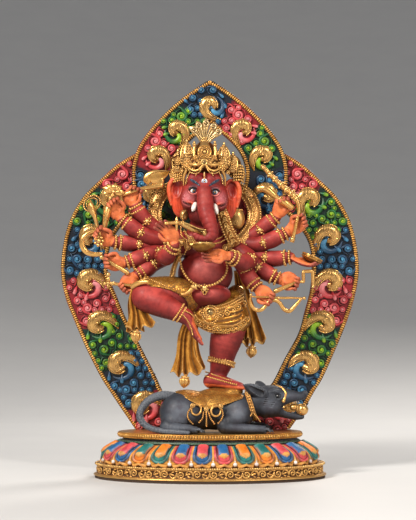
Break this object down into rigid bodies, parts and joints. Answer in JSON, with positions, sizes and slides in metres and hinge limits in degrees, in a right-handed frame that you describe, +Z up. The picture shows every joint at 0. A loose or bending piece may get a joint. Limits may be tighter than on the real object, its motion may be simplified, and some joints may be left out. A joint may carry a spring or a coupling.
{
  "type": "ganesha idol",
  "caption": "Painted figure of an elephant-headed, many-armed dancing deity on a reclining rat and an oval lotus pedestal, backed by a curled flame halo that lifts off.",
  "frame": {"origin": "middle of the underside, on the surface that the idol stands on", "axes": "+Z up, the figure faces -Y, and +X is to the right of a person who looks at its front"},
  "size_m": [0.263, 0.116, 0.3465],
  "materials": {
    "skin_paint": "satin deep red paint, dry-brushed pink on the high spots and dark in the creases",
    "ear_paint": "satin orange-red paint shaded to deep red",
    "gold": "gold paint over cast relief, bright on the edges and brown in the recesses",
    "ivory_paint": "satin off-white paint",
    "rat_paint": "satin slate grey paint with paler brushed highlights",
    "lotus_paint": "satin paint in blue, coral, teal and orange, petal by petal, with gold edges",
    "neck_paint": "satin dark green paint",
    "ring_paint": "satin paint in zones of red, green and blue over carved curls, with gold scrolls and beaded rims",
    "side_paint": "satin paint in zones of red, green and blue over carved curls, with gold scrolls and beaded rims",
    "cover_board": "dark red felt glued under the foot"
  },
  "bodies": {
    "statue": {"base_cover": "cover_board", "plinth_band": "gold", "lotus_tier": "lotus_paint", "pedestal_neck": "neck_paint", "top_slab": "gold", "rat_body": "rat_paint", "rat_head": "rat_paint", "rat_collar": "gold", "rat_tail": "rat_paint", "saddle_cloth": "gold", "wish_jewel": "gold", "standing_leg": "skin_paint", "hip_cloth": "gold", "raised_leg": "skin_paint", "thigh_cloth": "gold", "torso": "skin_paint", "head": "skin_paint", "ear_right": "ear_paint", "ear_left": "ear_paint", "tusk_right": "ivory_paint", "tusk_left": "ivory_paint", "crown": "gold", "naga_crest": "gold", "scarf_right": "gold", "scarf_left": "gold", "serpent_thread": "gold", "belly_beads": "gold", "knee_sash": "gold", "centre_sash": "gold", "side_sash": "gold", "axe": "gold", "vajra": "gold", "sword": "gold", "goad": "gold", "arrow_rod": "gold", "bent_rod": "gold", "curved_knife": "gold", "skull_bowl": "gold", "club": "gold", "staff": "gold", "bowl": "gold", "hook_rod": "gold", "bow": "gold", "arm_right_1": "skin_paint", "arm_right_2": "skin_paint", "arm_right_3": "skin_paint", "arm_right_4": "skin_paint", "arm_right_5": "skin_paint", "arm_right_6": "skin_paint", "arm_left_1": "skin_paint", "arm_left_2": "skin_paint", "arm_left_3": "skin_paint", "arm_left_4": "skin_paint", "arm_left_5": "skin_paint", "arm_left_6": "skin_paint"},
    "halo": {"halo_head_ring": "ring_paint", "halo_right_side": "side_paint", "halo_left_side": "side_paint", "halo_right_rivet": "gold", "halo_left_rivet": "gold"}
  },
  "joints": [
    {"name": "halo_lift", "type": "slide", "parent": "statue", "child": "halo", "axis": [0, 0, 1], "range_m": [0, 0.012]}
  ]
}
